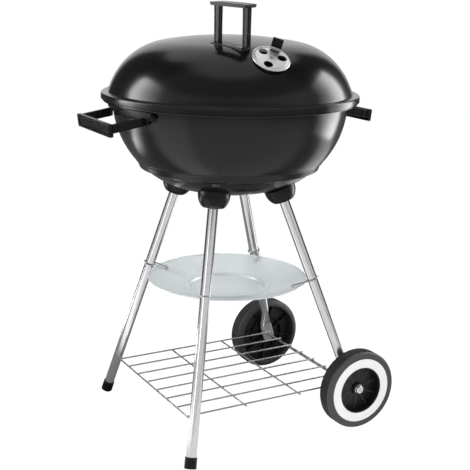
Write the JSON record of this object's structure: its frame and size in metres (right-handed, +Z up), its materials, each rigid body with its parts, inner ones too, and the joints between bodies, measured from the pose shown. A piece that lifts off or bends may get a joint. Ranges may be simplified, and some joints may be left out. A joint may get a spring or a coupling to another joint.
{
  "type": "kettle charcoal grill",
  "caption": "Round lidded charcoal kettle on splayed tube legs, with side handles, lid vent, ash pan, wire shelf and two wheels; cooks over coals and rolls when tipped.",
  "frame": {"origin": "on the floor under the middle of the bowl, which is the middle of the bounding box's base", "axes": "+Z up; +X to the wheels; -Y to the front, where the lid handle and lid vent are; the side handles are at -X and +X"},
  "size_m": [0.5042, 0.44, 0.7416],
  "materials": {
    "enamel": "gloss black fired enamel",
    "black_plastic": "fine matt moulded black",
    "vent_metal": "bright stamped sheet with a fine pitted grain",
    "zinc_steel": "zinc plated",
    "chrome": "bright plated tube",
    "plated_wire": "plated drawn wire",
    "pan_sheet": "pale blue-grey satin sheet",
    "wheel_plastic": "dark grey moulded, ribbed tread",
    "white_plastic": "white pressed-in trim ring"
  },
  "bodies": {
    "stand": {"bowl_shell": "enamel", "side_handle_left": "black_plastic", "side_handle_right": "black_plastic", "leg_socket_front_left": "black_plastic", "leg_socket_front_right": "black_plastic", "leg_socket_rear_left": "black_plastic", "leg_socket_rear_right": "black_plastic", "foot_cap_front_left": "black_plastic", "foot_cap_rear_left": "black_plastic", "side_handle_bolt_left_front": "black_plastic", "side_handle_bolt_left_rear": "black_plastic", "side_handle_bolt_right_front": "black_plastic", "side_handle_bolt_right_rear": "black_plastic", "bowl_damper_rivet": "zinc_steel", "axle": "zinc_steel", "leg_bolt_front_left": "zinc_steel", "leg_bolt_front_right": "zinc_steel", "leg_bolt_rear_left": "zinc_steel", "leg_bolt_rear_right": "zinc_steel", "leg_insert_front_left": "zinc_steel", "leg_insert_front_right": "zinc_steel", "leg_insert_rear_left": "zinc_steel", "leg_insert_rear_right": "zinc_steel", "ash_pan_clip_front_left": "zinc_steel", "ash_pan_clip_front_right": "zinc_steel", "ash_pan_clip_rear_left": "zinc_steel", "ash_pan_clip_rear_right": "zinc_steel", "grate_bracket_1": "zinc_steel", "grate_bracket_2": "zinc_steel", "grate_bracket_3": "zinc_steel", "grate_bracket_4": "zinc_steel", "side_handle_nut_left_front": "zinc_steel", "side_handle_nut_left_rear": "zinc_steel", "side_handle_nut_right_front": "zinc_steel", "side_handle_nut_right_rear": "zinc_steel", "leg_front_left": "chrome", "leg_front_right": "chrome", "leg_rear_left": "chrome", "leg_rear_right": "chrome", "hub_cap_front": "chrome", "hub_cap_rear": "chrome", "bottom_rack": "plated_wire", "ash_pan": "pan_sheet"},
    "lid": {"lid_shell": "enamel", "lid_handle": "black_plastic", "lid_handle_screw_1": "zinc_steel", "lid_handle_screw_2": "zinc_steel", "lid_damper_rivet": "zinc_steel"},
    "lid_damper": {"lid_damper_disc": "vent_metal", "lid_damper_tab": "black_plastic"},
    "bowl_damper": {"bowl_damper_disc": "vent_metal"},
    "cooking_grate": {"cooking_grate": "plated_wire"},
    "charcoal_grate": {"charcoal_grate": "plated_wire"},
    "wheel_front": {"wheel_front": "wheel_plastic", "wheel_ring_front": "white_plastic"},
    "wheel_rear": {"wheel_rear": "wheel_plastic", "wheel_ring_rear": "white_plastic"}
  },
  "joints": [
    {"name": "lid_lift", "type": "slide", "parent": "stand", "child": "lid", "axis": [0, 0, 1], "range_m": [0, 0.26]},
    {"name": "lid_damper_turn", "type": "hinge", "parent": "lid", "child": "lid_damper", "pos_m": [-0.0175, -0.1585, 0.6562], "axis": [0.0605, 0.5481, -0.8342], "range_deg": [0, 60]},
    {"name": "bowl_damper_turn", "type": "hinge", "parent": "stand", "child": "bowl_damper", "pos_m": [0, 0, 0.4147], "axis": [0, 0, 1], "range_deg": [0, 60]},
    {"name": "cooking_grate_lift", "type": "slide", "parent": "stand", "child": "cooking_grate", "axis": [0, 0, 1], "range_m": [0, 0.028]},
    {"name": "charcoal_grate_lift", "type": "slide", "parent": "stand", "child": "charcoal_grate", "axis": [0, 0, 1], "range_m": [0, 0.072]},
    {"name": "wheel_front_spin", "type": "hinge", "parent": "stand", "child": "wheel_front", "pos_m": [0.1797, -0.1597, 0.0707], "axis": [0, 1, 0], "continuous": true},
    {"name": "wheel_rear_spin", "type": "hinge", "parent": "stand", "child": "wheel_rear", "pos_m": [0.1797, 0.1597, 0.0707], "axis": [0, 1, 0], "continuous": true}
  ]
}
